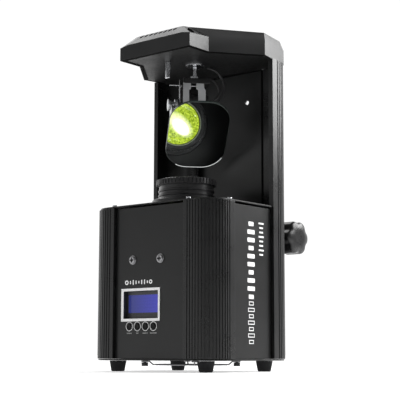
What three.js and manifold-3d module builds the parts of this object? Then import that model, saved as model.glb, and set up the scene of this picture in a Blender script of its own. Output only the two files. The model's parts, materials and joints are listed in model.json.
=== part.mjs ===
// Scanner effect light: a fixed housing whose LED and lens fire upwards at a
// pan-and-tilt mirror under an overhanging head. Millimetres, +Z up, +Y to the rear.
import * as THREE from 'three';
import { mergeVertices } from 'three/addons/utils/BufferGeometryUtils.js';
import Module from 'manifold-3d';

const wasm = await Module();
wasm.setup();

// ---------- Driving dimensions ----------
const gap = 0.3;                 // clearance between separate pieces
const sheet = 2;                 // thickness of the upright panels
const plate = 1.5;               // thickness of the base and deck plates
const degrees = Math.PI / 180;

// Housing: heights are counted from the underside of the box
const boxWidth = 176.2;
const boxDepth = 144.6;
const boxHeight = 165;
const profileWall = 6;
const cornerReach = 38.4;        // from the box corner to the seam with a panel
const cornerRadius = 27;
const panelInset = 4;
const panelBottom = plate + gap;
const panelTop = 163.4;
const plateEdge = 1;             // base plate edge, in from the box outline
const deckEdge = 1.5;            // deck plate edge, in from the box outline
const deckBottom = boxHeight + gap;
const deckTop = deckBottom + plate;
const footHeight = 11.85;
const footX = 62.3;
const footY = 50.2;

// Ribs of the corner profiles
const ribPitch = 3.6;
const ribWidth = 2.3;
const ribDepth = 0.9;
const flatFlange = 4;

// Head
const headBottom = 332.1;
const headShoulder = 348.4;
const headTop = 358.5;
const headOutline = [[40.5, -64.4], [51.1, -64.4], [51.1, -32.5], [90, 17.5], [80.4, 66.3], [74, 72]];
const cornerDip = 2;              // the bevel starts this much lower at the front corners
const capTop = [[28, -56], [34, -55.3], [36.8, -48.2], [86.2, 21], [79.2, 60], [72, 66]];

// Optics, all on one vertical axis
const lensY = -8.9;
const lensBore = 27.2;
const ringBottom = 190.8;
const ringTop = 197.8;
const ringRadius = 33.5;
const wheelOffset = 31;          // wheel shaft to optical axis
const wheelRadius = 40;

// Mirror mechanism
const panY = 5.6;
const panRest = 48.4 * degrees;  // rest direction of the mirror, from the front towards +X
const tiltZ = 285.7;
const tiltRest = 49.7 * degrees; // how far the mirror's face looks down at rest
const mirrorSize = [68.6, 94];
const mirrorCorner = 26.5;
const mirrorSideways = 4;        // mirror centre from the pan axis, along the tilt axis
const mirrorForward = 21.1;      // mirror face from the tilt axis
const mirrorDrop = 25.8;         // mirror centre below the tilt axis, in its own plane
const mirrorGlass = 3;

// Mounting bracket
const pivotY = 92.3;
const pivotZ = 137.3;
const bracketHalfWidth = 51.5;
const bracketSheet = 2.5;
const bracketDepth = 16;
const bracketDrop = 121;
const knobRadius = 19.5;
const knobFace = 82.5;
const studRadius = 3.9;

// The part's origin is under the middle of its footprint, on the floor
const frontEdge = -boxDepth / 2;
const rearEdge = pivotY + knobRadius;
const originY = (frontEdge + rearEdge) / 2;

// ---------- Materials ----------
const paint = (color, roughness, metalness) =>
  new THREE.MeshStandardMaterial({ color, roughness, metalness });
const blackPaint = () => paint(0x232425, 0.5, 0.2);
const darkPlastic = () => paint(0x1b1c1d, 0.55, 0);
const rubber = () => paint(0x151515, 0.85, 0);
const steel = () => paint(0xb9babb, 0.3, 1);
const aluminium = () => paint(0xa4a6a8, 0.4, 1);
const circuitGreen = () => paint(0x1f5a36, 0.6, 0);

// ---------- Shape helpers ----------
const outline = (points) => new THREE.Shape(points.map(([x, y]) => new THREE.Vector2(x, y)));

function rectangle(x0, y0, x1, y1) {
  return outline([[x0, y0], [x1, y0], [x1, y1], [x0, y1]]);
}

function arcPoints(x, y, radius, from, to, steps) {
  return Array.from({ length: steps + 1 }, (_, i) => {
    const angle = from + ((to - from) * i) / steps;
    return [x + radius * Math.cos(angle), y + radius * Math.sin(angle)];
  });
}

function circle(x, y, radius, segments = 24) {
  return outline(arcPoints(x, y, radius, 0, 2 * Math.PI, segments).slice(1));
}

function roundedRectangle(halfX, halfY, radius, steps = 6) {
  const corners = [[1, 1], [-1, 1], [-1, -1], [1, -1]];
  return outline(corners.flatMap(([sx, sy], i) => arcPoints(
    sx * (halfX - radius), sy * (halfY - radius), radius, (i * Math.PI) / 2, ((i + 1) * Math.PI) / 2, steps)));
}

function extrude(shape, depth, holes = []) {
  shape.holes.push(...holes);
  return new THREE.ExtrudeGeometry(shape, { depth, bevelEnabled: false });
}

// Drawn as (X, Z) and made thick towards the front
const upright = (geometry) => geometry.rotateX(Math.PI / 2);

// Drawn as (Y, Z) and made thick towards +X
const sideOn = (geometry) => geometry.applyMatrix4(new THREE.Matrix4().makeBasis(
  new THREE.Vector3(0, 1, 0), new THREE.Vector3(0, 0, 1), new THREE.Vector3(1, 0, 0)));

// Solid of revolution about Z from [radius, height] points, outer side first, going up
function turned(points, segments = 32) {
  const profile = points.map(([r, z]) => new THREE.Vector2(r, z));
  return new THREE.LatheGeometry(profile, segments).rotateX(Math.PI / 2);
}

const disc = (radius, z0, z1, segments) =>
  turned([[0, z0], [radius, z0], [radius, z1], [0, z1]], segments);

const tube = (inner, outer, z0, z1, segments) =>
  turned([[outer, z0], [outer, z1], [inner, z1], [inner, z0], [outer, z0]], segments);

const block = (x0, y0, z0, x1, y1, z1) =>
  new THREE.BoxGeometry(x1 - x0, y1 - y0, z1 - z0).translate((x0 + x1) / 2, (y0 + y1) / 2, (z0 + z1) / 2);

// Turns a shape made along Z so that it lies along X
const alongX = (geometry) => geometry.rotateY(Math.PI / 2);

function toSolid(geometry) {
  const bare = geometry.clone();
  bare.deleteAttribute('normal');
  bare.deleteAttribute('uv');
  const merged = mergeVertices(bare);
  const index = merged.index.array;
  const triangles = [];
  for (let i = 0; i < index.length; i += 3) {
    const [a, b, c] = index.slice(i, i + 3);
    if (a !== b && b !== c && c !== a) triangles.push(a, b, c);
  }
  const vertProperties = new Float32Array(merged.attributes.position.array);
  return new wasm.Manifold(new wasm.Mesh({ numProp: 3, vertProperties, triVerts: new Uint32Array(triangles) }));
}

function toGeometry(solid) {
  const mesh = solid.getMesh();
  const geometry = new THREE.BufferGeometry();
  geometry.setAttribute('position', new THREE.BufferAttribute(mesh.vertProperties, 3));
  geometry.setIndex(new THREE.BufferAttribute(mesh.triVerts, 1));
  geometry.computeVertexNormals();
  return geometry;
}

const join = (...pieces) => toGeometry(pieces.map(toSolid).reduce((a, b) => a.add(b)));
const cut = (piece, ...tools) => toGeometry(tools.map(toSolid).reduce((a, b) => a.subtract(b), toSolid(piece)));

function add(group, name, geometry, material, x = 0, y = 0, z = 0) {
  const mesh = new THREE.Mesh(geometry, material);
  mesh.name = name;
  mesh.position.set(x, y, z);
  group.add(mesh);
  return mesh;
}

// ---------- Housing ----------

// A point on the outer face of the corner at +X +Y, at a distance along it from the
// rear panel's seam, and sunk into the wall by a depth
function cornerPoint(distance, depth) {
  const straight = cornerReach - cornerRadius;
  const arc = (cornerRadius * Math.PI) / 2;
  const centre = [boxWidth / 2 - cornerRadius, boxDepth / 2 - cornerRadius];
  if (distance < straight) return [boxWidth / 2 - cornerReach + distance, boxDepth / 2 - depth];
  if (distance > straight + arc) {
    return [boxWidth / 2 - depth, boxDepth / 2 - cornerRadius - (distance - straight - arc)];
  }
  const angle = Math.PI / 2 - (distance - straight) / cornerRadius;
  const radius = cornerRadius - depth;
  return [centre[0] + radius * Math.cos(angle), centre[1] + radius * Math.sin(angle)];
}

// Extruded corner: ribbed outside, plain inside
function cornerProfile(signX, signY, height) {
  const length = 2 * (cornerReach - cornerRadius) + (cornerRadius * Math.PI) / 2;
  const ribs = Math.floor((length - 2 * flatFlange) / ribPitch);
  const first = (length - ribs * ribPitch + (ribPitch - ribWidth)) / 2;
  const points = [cornerPoint(0, 0)];
  for (let i = 0; i < ribs; i += 1) {
    const start = first + i * ribPitch;
    points.push(cornerPoint(start - (ribPitch - ribWidth), 0), cornerPoint(start - (ribPitch - ribWidth), ribDepth));
    points.push(cornerPoint(start, ribDepth), cornerPoint(start, 0));
  }
  points.push(cornerPoint(length, 0), cornerPoint(length, profileWall));
  const innerSteps = 8;
  for (let i = 0; i <= innerSteps; i += 1) {
    const along = cornerReach - cornerRadius + ((innerSteps - i) / innerSteps) * ((cornerRadius * Math.PI) / 2);
    points.push(cornerPoint(along, profileWall));
  }
  points.push(cornerPoint(0, profileWall));
  return extrude(outline(points.map(([x, y]) => [signX * x, signY * y])), height);
}

const panelHalfX = boxWidth / 2 - cornerReach - gap;
const panelHalfY = boxDepth / 2 - cornerReach - gap;
const frontFace = -(boxDepth / 2 - panelInset);
const rearFace = boxDepth / 2 - panelInset;

function addShell(group) {
  const foot = plate + gap;
  const short = boxHeight - foot;
  const long = headBottom - gap - foot;
  add(group, 'front_left_profile', cornerProfile(-1, -1, short), blackPaint(), 0, 0, foot);
  add(group, 'front_right_profile', cornerProfile(1, -1, short), blackPaint(), 0, 0, foot);
  add(group, 'rear_left_profile', cornerProfile(-1, 1, long), blackPaint(), 0, 0, foot);
  add(group, 'rear_right_profile', cornerProfile(1, 1, long), blackPaint(), 0, 0, foot);
  for (const [name, side] of [['left_panel', -1], ['right_panel', 1]]) {
    const panel = sideOn(extrude(rectangle(-panelHalfY, panelBottom, panelHalfY, panelTop), sheet));
    add(group, name, panel, blackPaint(), side * (boxWidth / 2 - panelInset - sheet / 2) - sheet / 2);
  }
  addProfileScrews(group);
}

// Screws through the deck into the two short profiles, one near each panel seam
function addProfileScrews(group) {
  const length = 2 * (cornerReach - cornerRadius) + (cornerRadius * Math.PI) / 2;
  const fromSeam = 3.6;
  const fromEdge = 4.5;
  for (const [side, sign] of [['left', -1], ['right', 1]]) {
    for (const [place, along] of [['front', fromSeam], ['side', length - fromSeam]]) {
      const [x, y] = cornerPoint(along, fromEdge);
      const head = turned([[0, 0], [2.6, 0], [2.6, 0.9], [1.5, 1.6], [0, 1.6]], 10);
      add(group, `profile_screw_${side}_${place}`, head, steel(), sign * x, -y, deckTop + gap);
    }
  }
}

const displayFrame = [-40.3, 41.3, 15, 76.3];
const displayWindow = [-37.1, 44.1, 12.75, 73.5];
const buttonX = [-28.9, -17.3, -5.8, 5.6];
const buttonNames = ['menu_button', 'down_button', 'up_button', 'enter_button'];
const buttonZ = 35.9;
const buttonRadius = 3.5;
const panelScrewX = [-24.4, 15.1];
const panelScrewZ = 106.8;
const bezelWall = 1.2;

function addFrontPanel(group) {
  const [x0, z0, x1, z1] = displayWindow;
  const cutout = bezelWall + gap;
  const holes = [
    rectangle(x0 - cutout, z0 - cutout, x1 + cutout, z1 + cutout),
    ...buttonX.map((x) => circle(x, buttonZ, buttonRadius + gap, 16)),
    ...panelScrewX.map((x) => circle(x, panelScrewZ, 2.3, 12)),
  ];
  const panel = upright(extrude(rectangle(-panelHalfX, panelBottom, panelHalfX, panelTop), sheet, holes));
  add(group, 'front_panel', panel, blackPaint(), 0, frontFace + sheet, 0);
  for (const [i, x] of panelScrewX.entries()) {
    const screw = turned([[0, -6], [2, -6], [2, 0], [5, 0], [5, 1], [3.4, 2.2], [0, 2.2]], 14);
    const mesh = add(group, ['panel_screw_left', 'panel_screw_right'][i], screw, steel(),
      x, frontFace - gap, panelScrewZ);
    mesh.rotation.x = Math.PI / 2;
  }
}

function addDisplay(group) {
  const [x0, z0, x1, z1] = displayWindow;
  const depth = 8;
  const flangeThickness = 0.8;
  const window = () => rectangle(...displayWindow);
  const flange = upright(extrude(rectangle(...displayFrame), flangeThickness, [window()]));
  const sleeve = upright(extrude(
    rectangle(x0 - bezelWall, z0 - bezelWall, x1 + bezelWall, z1 + bezelWall), depth, [window()]));
  flange.translate(0, frontFace - gap, 0);
  sleeve.translate(0, frontFace - gap - flangeThickness / 2 + depth, 0);
  add(group, 'display_bezel', join(flange, sleeve), paint(0xe8e9ea, 0.5, 0));
  const lcdFront = frontFace + 5;
  const lcd = block(x0 + gap, lcdFront, z0 + gap, x1 - gap, lcdFront + 2.2, z1 - gap);
  add(group, 'lcd_module', lcd, paint(0x2b37b0, 0.2, 0));
  const boardFront = frontFace + 9;
  add(group, 'control_board', block(x0 - 6, boardFront, 26, x1 + 6, boardFront + 1.6, 84), circuitGreen());
}

function addButtons(group) {
  const flangeTop = -sheet - gap;
  const button = () => turned([[0, -8], [1.5, -8], [1.5, flangeTop - 1], [buttonRadius + 1, flangeTop - 1],
    [buttonRadius + 1, flangeTop], [buttonRadius, flangeTop], [buttonRadius, 0.7],
    [buttonRadius - 0.5, 1.2], [0, 1.2]], 12);
  for (const [i, x] of buttonX.entries()) {
    const mesh = add(group, buttonNames[i], button(), darkPlastic(), x, frontFace, buttonZ);
    mesh.rotation.x = Math.PI / 2;
  }
}

// Rear panel sockets
const inlet = { x: 26, z: 52, halfX: 13.5, halfZ: 14 };
const signalSockets = [['signal_input', -32], ['signal_output', -4]];
const socketZ = 52;
const socketRadius = 11.5;

function addRearPanel(group) {
  const holes = [
    circle(27.8, 295.9, 2.5, 16),
    rectangle(inlet.x - inlet.halfX - gap, inlet.z - inlet.halfZ - gap,
      inlet.x + inlet.halfX + gap, inlet.z + inlet.halfZ + gap),
    ...signalSockets.map(([, x]) => circle(x, socketZ, socketRadius + gap, 24)),
  ];
  const panel = upright(extrude(rectangle(-panelHalfX, panelBottom, panelHalfX, headBottom - gap), sheet, holes));
  add(group, 'rear_panel', panel, blackPaint(), 0, rearFace, 0);

  const socketFace = rearFace + gap;
  const flangeThickness = 2;
  const behind = 16;
  const inletBody = cut(
    join(
      block(inlet.x - 16, socketFace, inlet.z - 17, inlet.x + 16, socketFace + flangeThickness, inlet.z + 17),
      block(inlet.x - inlet.halfX, socketFace - behind, inlet.z - inlet.halfZ,
        inlet.x + inlet.halfX, socketFace + 1, inlet.z + inlet.halfZ)),
    block(inlet.x - 11.5, socketFace - 12, inlet.z - 4, inlet.x + 11.5, socketFace + 5, inlet.z + 12));
  add(group, 'power_inlet', inletBody, darkPlastic());
  for (const [name, x] of signalSockets) {
    const barrel = turned([[0, -behind], [socketRadius, -behind], [socketRadius, 0], [13, 0],
      [13, flangeThickness], [8.6, flangeThickness], [8.6, -11], [0, -11]], 16);
    const mesh = add(group, name, barrel, darkPlastic(), x, socketFace, socketZ);
    mesh.rotation.x = -Math.PI / 2;
  }
}

// The deck overlaps the box walls at the front and sides and fits inside the tall rear walls
function deckOutline() {
  const side = boxWidth / 2 - deckEdge;
  const front = boxDepth / 2 - deckEdge;
  const innerX = boxWidth / 2 - profileWall - gap;
  const innerY = boxDepth / 2 - profileWall - gap;
  const stepY = boxDepth / 2 - cornerReach - gap;
  const frontRadius = cornerRadius - deckEdge;
  const rearRadius = cornerRadius - profileWall - gap;
  const half = [
    ...arcPoints(side - frontRadius, -front + frontRadius, frontRadius, -Math.PI / 2, 0, 8),
    [side, stepY], [innerX, stepY],
    ...arcPoints(innerX - rearRadius, innerY - rearRadius, rearRadius, 0, Math.PI / 2, 6),
  ];
  return outline([...half, ...half.map(([x, y]) => [-x, y]).reverse()]);
}

function addBaseAndDeck(group) {
  const fanScrews = [[-1, -1], [1, 1], [-1, 1], [1, -1]].map(([sx, sy]) => [sx * fanHoles, sy * fanHoles]);
  const airHole = circle(0, 0, fanBore - 1, 24);
  const floor = roundedRectangle(boxWidth / 2 - plateEdge, boxDepth / 2 - plateEdge, cornerRadius - plateEdge, 8);
  const base = extrude(floor, plate, [airHole, ...fanScrews.map(([x, y]) => circle(x, y, 2.2, 8))]);
  add(group, 'base_plate', base, blackPaint());
  const lightHole = circle(0, lensY, lensBore, 32);
  add(group, 'deck_plate', extrude(deckOutline(), plate, [lightHole]), blackPaint(), 0, 0, deckBottom);
  for (const [name, sx, sy] of [['foot_front_left', -1, -1], ['foot_front_right', 1, -1],
    ['foot_rear_left', -1, 1], ['foot_rear_right', 1, 1]]) {
    const foot = turned([[0, -footHeight], [6.6, -footHeight], [7.3, -footHeight + 0.8], [9.35, -gap], [0, -gap]], 16);
    add(group, name, foot, rubber(), sx * footX, sy * footY, 0);
  }
}

// ---------- Cooling ----------
const fanHalf = 40;
const fanBore = 38;
const fanHoles = 35.75;
const fanHeight = 20;

function addFan(group) {
  const bottom = plate + gap;
  const frame = extrude(rectangle(-fanHalf, -fanHalf, fanHalf, fanHalf), fanHeight, [circle(0, 0, fanBore, 24)]);
  const struts = [0, 60, 120].map((angle) => block(-fanBore - 1, -2, 0, fanBore + 1, 2, 2).rotateZ(angle * degrees));
  add(group, 'fan_frame', join(frame, ...struts, disc(14, 0, 2.5, 24)), darkPlastic(), 0, 0, bottom);
  const blades = Array.from({ length: 7 }, (_, i) => block(12, -8, 7, 36, 8, 8.4)
    .translate(0, 0, -7.7).rotateX(35 * degrees).translate(0, 0, 9.5).rotateZ((i * 2 * Math.PI) / 7));
  add(group, 'fan_rotor', join(disc(14, 3, 17, 24), ...blades), darkPlastic(), 0, 0, bottom);

  // The guard's rings hang below its four screw eyes on sloping ends of the diagonal bars
  const wire = 1.6;
  const low = -3.4;
  const rings = [14, 23, 32, 41].map((radius) => tube(radius - wire, radius, low, low + wire, 20));
  const bars = [45, 135].map((angle) => block(-41.5, -1, low, 41.5, 1, low + wire).rotateZ(angle * degrees));
  const corners = [45, 135, 225, 315];
  const legs = corners.map((angle) => block(-3.2, -1, -wire / 2, 3.2, 1, wire / 2)
    .rotateY(-36 * degrees).translate(43.4, 0, (low + wire) / 2).rotateZ(angle * degrees));
  const eye = (radius, z0, z1, segments) => corners.map((angle) =>
    disc(radius, z0, z1, segments).translate(fanHoles * Math.SQRT2, 0, 0).rotateZ(angle * degrees));
  const guard = cut(join(...rings, ...bars, ...legs, ...eye(4.4, 0, wire, 12)), ...eye(2.3, -1, wire + 1, 8));
  add(group, 'fan_guard', guard, blackPaint(), 0, 0, -gap - wire);
  for (const [name, sign] of [['guard_nut_left', -1], ['guard_nut_right', 1]]) {
    const top = -2 * gap - wire;
    const nut = turned([[0, top - 4], [3.4, top - 4], [4, top - 3.4], [4, top], [1.9, top], [1.9, 1.5], [0, 1.5]], 12);
    add(group, name, nut, steel(), sign * fanHoles, sign * fanHoles, 0);
  }
}

// ---------- Light source and wheels inside the box ----------
const sinkTop = 118;
const colourWheelZ = 133;
const goboWheelZ = 138;
const motorTop = deckBottom - gap;

function addLightSource(group) {
  const half = 34;
  const fins = 9;
  const finPitch = (2 * half) / (fins - 0.5);
  const bottom = plate + fanHeight + 2 * gap;
  const points = [[-half, sinkTop], [-half, bottom]];
  for (let i = 0; i < fins; i += 1) {
    const x = -half + i * finPitch;
    if (i > 0) points.push([x, sinkTop - 10], [x, bottom]);
    points.push([x + finPitch / 2, bottom]);
    if (i < fins - 1) points.push([x + finPitch / 2, sinkTop - 10]);
  }
  points.push([half, sinkTop]);
  add(group, 'heat_sink', upright(extrude(outline(points), 2 * half)), aluminium(), 0, lensY + half, 0);
  const led = turned([[0, 0], [15, 0], [15, 2], [9, 2], [9, 3], [0, 3]], 24);
  add(group, 'led_module', led, paint(0xd9c65a, 0.5, 0), 0, lensY, sinkTop + gap);
  add(group, 'main_board', block(-76, -30, 20, -74.4, 30, 120), circuitGreen());
  add(group, 'power_supply', block(48, -32, 14, 76, 36, 116), aluminium());
}

function addWheel(group, name, motorName, side, z, material) {
  const thickness = 1.2;
  const holes = Array.from({ length: 8 }, (_, i) => {
    const angle = (i * Math.PI) / 4;
    return circle(wheelOffset * Math.cos(angle), wheelOffset * Math.sin(angle), 7, 10);
  });
  const plate = extrude(circle(0, 0, wheelRadius, 32), thickness, holes);
  const hub = disc(4, thickness / 2, thickness + 2, 12);
  add(group, name, join(plate, hub), material, side * wheelOffset, lensY, z);
  const motorBottom = z + thickness + 2 + gap;
  const motor = disc(14, motorBottom, motorTop, 24);
  add(group, motorName, motor, steel(), side * wheelOffset, lensY, 0);
}

// ---------- Lens ----------
function addLens(group) {
  const lens = new THREE.Group();
  lens.position.set(0, lensY, 0);
  group.add(lens);
  const flangeTop = 175;
  const ridge = (z) => [[30.3, z], [31.3, z + 1.1], [30.3, z + 2.2]];
  const base = turned([[38, deckTop + gap], [38, flangeTop - 1], [37, flangeTop], [30.3, flangeTop],
    ...ridge(179), ...ridge(184), [30.3, ringBottom - gap], [lensBore, ringBottom - gap],
    [lensBore, deckTop + gap], [38, deckTop + gap]], 32);
  add(lens, 'lens_base', base, blackPaint());

  const teeth = 48;
  const tooth = (2 * Math.PI) / teeth;
  const edge = Array.from({ length: teeth }, (_, i) => [[ringRadius, 0], [ringRadius, 0.55],
    [ringRadius - 0.9, 0.65], [ringRadius - 0.9, 0.9]].map(([r, part]) =>
    [r * Math.cos((i + part) * tooth), r * Math.sin((i + part) * tooth)])).flat();
  const ring = extrude(outline(edge), ringTop - ringBottom, [circle(0, 0, lensBore, 48)]);
  add(lens, 'focus_ring', ring, blackPaint(), 0, 0, ringBottom);

  const barrel = lensBore - gap;
  const seat = 189;
  add(lens, 'lens_tube', turned([[barrel, 167], [barrel, 196], [25.3, 196], [25.3, seat], [22.5, seat],
    [22.5, 167], [barrel, 167]], 28), darkPlastic());
  const crown = [[0, seat + gap], [25, seat + gap], [25, 193]];
  for (let i = 1; i <= 4; i += 1) {
    const angle = (i / 4) * (Math.PI / 2);
    crown.push([25 * Math.cos(angle), 193 + 5.5 * Math.sin(angle)]);
  }
  crown[crown.length - 1][0] = 0;
  add(lens, 'front_lens', turned(crown, 28), paint(0xeaf2c0, 0.05, 0));
}

// ---------- Head ----------

// Moves every edge of a closed outline inwards by a distance
function inset(points, distance) {
  return points.map((point, i) => {
    const before = points[(i + points.length - 1) % points.length];
    const after = points[(i + 1) % points.length];
    const normal = (a, b) => {
      const length = Math.hypot(b[0] - a[0], b[1] - a[1]);
      return [-(b[1] - a[1]) / length, (b[0] - a[0]) / length];
    };
    const [n, m] = [normal(before, point), normal(point, after)];
    const scale = distance / (1 + n[0] * m[0] + n[1] * m[1]);
    return [point[0] + (n[0] + m[0]) * scale, point[1] + (n[1] + m[1]) * scale];
  });
}

// Closed solid between outlines of equal point count stacked in Z
function loft(layers) {
  const count = layers[0].points.length;
  const positions = layers.flatMap(({ points, z }) => points.flatMap(([x, y, rise = 0]) => [x, y, z + rise]));
  const index = [];
  for (let layer = 0; layer < layers.length - 1; layer += 1) {
    for (let i = 0; i < count; i += 1) {
      const [a, b] = [layer * count + i, layer * count + ((i + 1) % count)];
      index.push(a, b, b + count, a, b + count, a + count);
    }
  }
  const cap = THREE.ShapeUtils.triangulateShape(layers[0].points.map(([x, y]) => new THREE.Vector2(x, y)), []);
  const top = (layers.length - 1) * count;
  for (const [a, b, c] of cap) index.push(c, b, a, top + a, top + b, top + c);
  const geometry = new THREE.BufferGeometry();
  geometry.setAttribute('position', new THREE.Float32BufferAttribute(positions, 3));
  geometry.setIndex(index);
  return geometry;
}

const bothSides = (half) => [...half, ...half.map(([x, ...rest]) => [-x, ...rest]).reverse()];
const headPlan = bothSides(headOutline);
const shoulderPlan = bothSides(headOutline.map(([x, y], i) => [x, y, i === 1 ? -cornerDip : 0]));

function addHead(group) {
  const shell = 1.5;
  const outer = loft([
    { z: headBottom, points: headPlan },
    { z: headShoulder, points: shoulderPlan },
    { z: headTop, points: bothSides(capTop) },
  ]);
  const hollow = loft([
    { z: headBottom - 1, points: inset(headPlan, shell) },
    { z: headShoulder - shell - cornerDip, points: inset(headPlan, shell) },
    { z: headTop - shell, points: inset(bothSides(capTop), shell) },
  ]);
  const slotCount = 8;
  const slotPitch = 7;
  const slots = Array.from({ length: slotCount }, (_, i) => new THREE.BoxGeometry(4.6, 14, 2)
    .rotateY(-22 * degrees).translate((i - (slotCount - 1) / 2) * slotPitch, -59, 356.2));
  const cornerSlot = new THREE.BoxGeometry(8, 2.8, 12).rotateZ(-36 * degrees).translate(44.3, -52.3, 355);
  add(group, 'head_cover', cut(outer, hollow, ...slots, cornerSlot), blackPaint());

  const trayBottom = headBottom + gap;
  const trayThickness = 1.5;
  const bossRadius = 11;
  const pinX = -13;
  const pinY = -26.4;
  const tray = extrude(outline(inset(headPlan, 3.2)), trayThickness, [circle(0, panY, bossRadius + gap, 32)]);
  add(group, 'head_tray', tray, blackPaint(), 0, 0, trayBottom);
  add(group, 'stop_pin', turned([[0, 313], [2.4, 313], [3, 313.8], [3, trayBottom - gap], [0, trayBottom - gap]], 16),
    steel(), pinX, pinY, 0);

  const motorBottom = trayBottom + trayThickness + gap;
  const pan = join(
    extrude(roundedRectangle(21, 21, 4, 3), 19).translate(0, 0, motorBottom),
    disc(bossRadius, 331.1, motorBottom + 1, 32));
  add(group, 'pan_motor', pan, steel(), 0, panY, 0);
  add(group, 'cable_sleeve', disc(5, deckTop + gap, trayBottom - gap, 20), darkPlastic(), -46, 59.5, 0);
}

// ---------- Mirror mechanism ----------
// Frames: the pan group looks along its own -Y, the tilt group's own X is the tilt axis

function addPanHead(group) {
  const pan = new THREE.Group();
  pan.position.set(0, panY, 0);
  pan.rotation.z = panRest;
  group.add(pan);
  const strapFront = -16.3;
  const strapBack = -14.8;
  const leg = (x0, x1, z0, z1) => block(x0, strapFront, z0, x1, strapBack, z1);
  const plateBottom = 307.5;
  const plateTop = 314;
  const legTop = plateBottom + 0.5;
  const yoke = join(
    disc(2.3, 319, 330.8, 16),
    disc(5, plateTop - 0.5, 319.5, 20),
    block(-15.7, strapFront, plateBottom, 15, 16.5, plateTop),
    leg(-15.7, -9, 284, legTop), leg(-15.7, -7, 300, legTop),
    leg(1.2, 9.7, 286, legTop), leg(-0.9, 9.7, 301, legTop), leg(-8, 0, 304, 305),
    block(-12, 15, 284, 12, 16.5, legTop),
    block(-18.9, -9, 287, -17.9, -4, legTop), block(-18.9, -9, plateBottom, -15, -4, plateTop),
    alongX(disc(0.7, -30, -18, 8)).translate(0, -6.5, 307));
  add(pan, 'pan_yoke', yoke, aluminium());
  const motor = alongX(disc(13.8, -12, 14, 24)).translate(0, 0, tiltZ);
  add(pan, 'tilt_motor', motor, darkPlastic());

  const tilt = new THREE.Group();
  tilt.position.set(0, 0, tiltZ);
  tilt.rotation.x = tiltRest;
  pan.add(tilt);
  const plateBack = -mirrorForward + mirrorGlass + gap + 1.2;
  const spool = alongX(turned([[0, -31.3], [6.7, -31.3], [6.7, -29.8], [4, -29.8], [4, -24], [6.7, -23.4],
    [6.7, -19.9], [2.5, -19.9], [2.5, -12.3], [0, -12.3]], 14));
  const cheek = sideOn(extrude(outline([[3.5, -3.5], [3.5, 3.5], [-3, 6], [plateBack - 0.6, 8],
    [plateBack - 0.6, -22], [-6, -8]]), 1.5)).translate(-28.6, 0, 0);
  const holder = upright(extrude(outline([[-28.6, -56], [-20, -64], [26, -64], [34, -52], [34, -4], [22, 10],
    [-20, 10], [-28.6, 4]]), 1.2)).translate(0, plateBack, 0);
  add(tilt, 'tilt_arm', join(spool, cheek, holder), aluminium());
  const glass = upright(extrude(roundedRectangle(mirrorSize[0] / 2, mirrorSize[1] / 2, mirrorCorner, 10), mirrorGlass));
  add(tilt, 'mirror', glass, paint(0xdfe3e6, 0.02, 1), mirrorSideways, -mirrorForward + mirrorGlass, -mirrorDrop);
}

// ---------- Mounting bracket ----------

// Round-lobed clamp knob along X, its threaded stud pointing inwards
function clampKnob() {
  const lobes = 6;
  const steps = 36;
  const headStart = 59;
  const grip = Array.from({ length: steps }, (_, i) => {
    const angle = (i * 2 * Math.PI) / steps;
    const radius = knobRadius - 1.7 * (1 - Math.cos(lobes * angle)) / 2 * 1.2;
    return [radius * Math.cos(angle), radius * Math.sin(angle)];
  });
  const head = sideOn(extrude(outline(grip), knobFace - headStart - 2)).translate(headStart, 0, 0);
  const dome = alongX(turned([[0, knobFace - 4], [15.5, knobFace - 4], [15.5, knobFace - 1.5], [12, knobFace], [0, knobFace]], 24));
  const neck = alongX(disc(9, bracketHalfWidth + gap, headStart + 1, 20));
  const stud = alongX(disc(studRadius, bracketHalfWidth - 6, bracketHalfWidth + 1, 16));
  return join(head, dome, neck, stud);
}

function addBracket(group) {
  const earOuter = bracketHalfWidth - bracketSheet - gap;
  const earThickness = 2.7;
  const holeRadius = studRadius + gap;
  const hole = () => alongX(disc(holeRadius, -100, 100, 16)).translate(0, pivotY, pivotZ);
  const mountBack = rearFace + gap;
  const mountPlate = 2.5;
  const channel = extrude(outline([[-earOuter, mountBack], [earOuter, mountBack], [earOuter, pivotY + 10],
    [earOuter - earThickness, pivotY + 10], [earOuter - earThickness, mountBack + mountPlate],
    [-earOuter + earThickness, mountBack + mountPlate], [-earOuter + earThickness, pivotY + 10],
    [-earOuter, pivotY + 10]]), 20).translate(0, 0, pivotZ - 10);
  add(group, 'bracket_mount', cut(channel, hole()), blackPaint());

  const outer = bracketHalfWidth;
  const inner = bracketHalfWidth - bracketSheet;
  const low = pivotZ - bracketDrop;
  const high = pivotZ + bracketDepth / 2;
  const bracket = upright(extrude(outline([[-outer, low], [outer, low], [outer, high], [inner, high],
    [inner, low + bracketSheet], [-inner, low + bracketSheet], [-inner, high], [-outer, high]]), bracketDepth));
  bracket.translate(0, pivotY + bracketDepth / 2, 0);
  const clampHole = disc(5.2, low - 1, low + bracketSheet + 1, 20).translate(0, pivotY, 0);
  add(group, 'mounting_bracket', cut(bracket, hole(), clampHole), blackPaint());

  add(group, 'knob_right', clampKnob(), darkPlastic(), 0, pivotY, pivotZ);
  const left = add(group, 'knob_left', clampKnob(), darkPlastic(), 0, pivotY, pivotZ);
  left.rotation.z = Math.PI;
}

// ---------- Assembly ----------
const light = new THREE.Group();
const assembly = new THREE.Group();
assembly.position.set(0, -originY, footHeight);
light.add(assembly);

addShell(assembly);
addFrontPanel(assembly);
addDisplay(assembly);
addButtons(assembly);
addRearPanel(assembly);
addBaseAndDeck(assembly);
addFan(assembly);
addLightSource(assembly);
addWheel(assembly, 'colour_wheel', 'colour_motor', -1, colourWheelZ, aluminium());
addWheel(assembly, 'gobo_wheel', 'gobo_motor', 1, goboWheelZ, steel());
addLens(assembly);
addHead(assembly);
addPanHead(assembly);
addBracket(assembly);

export default light;
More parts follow.
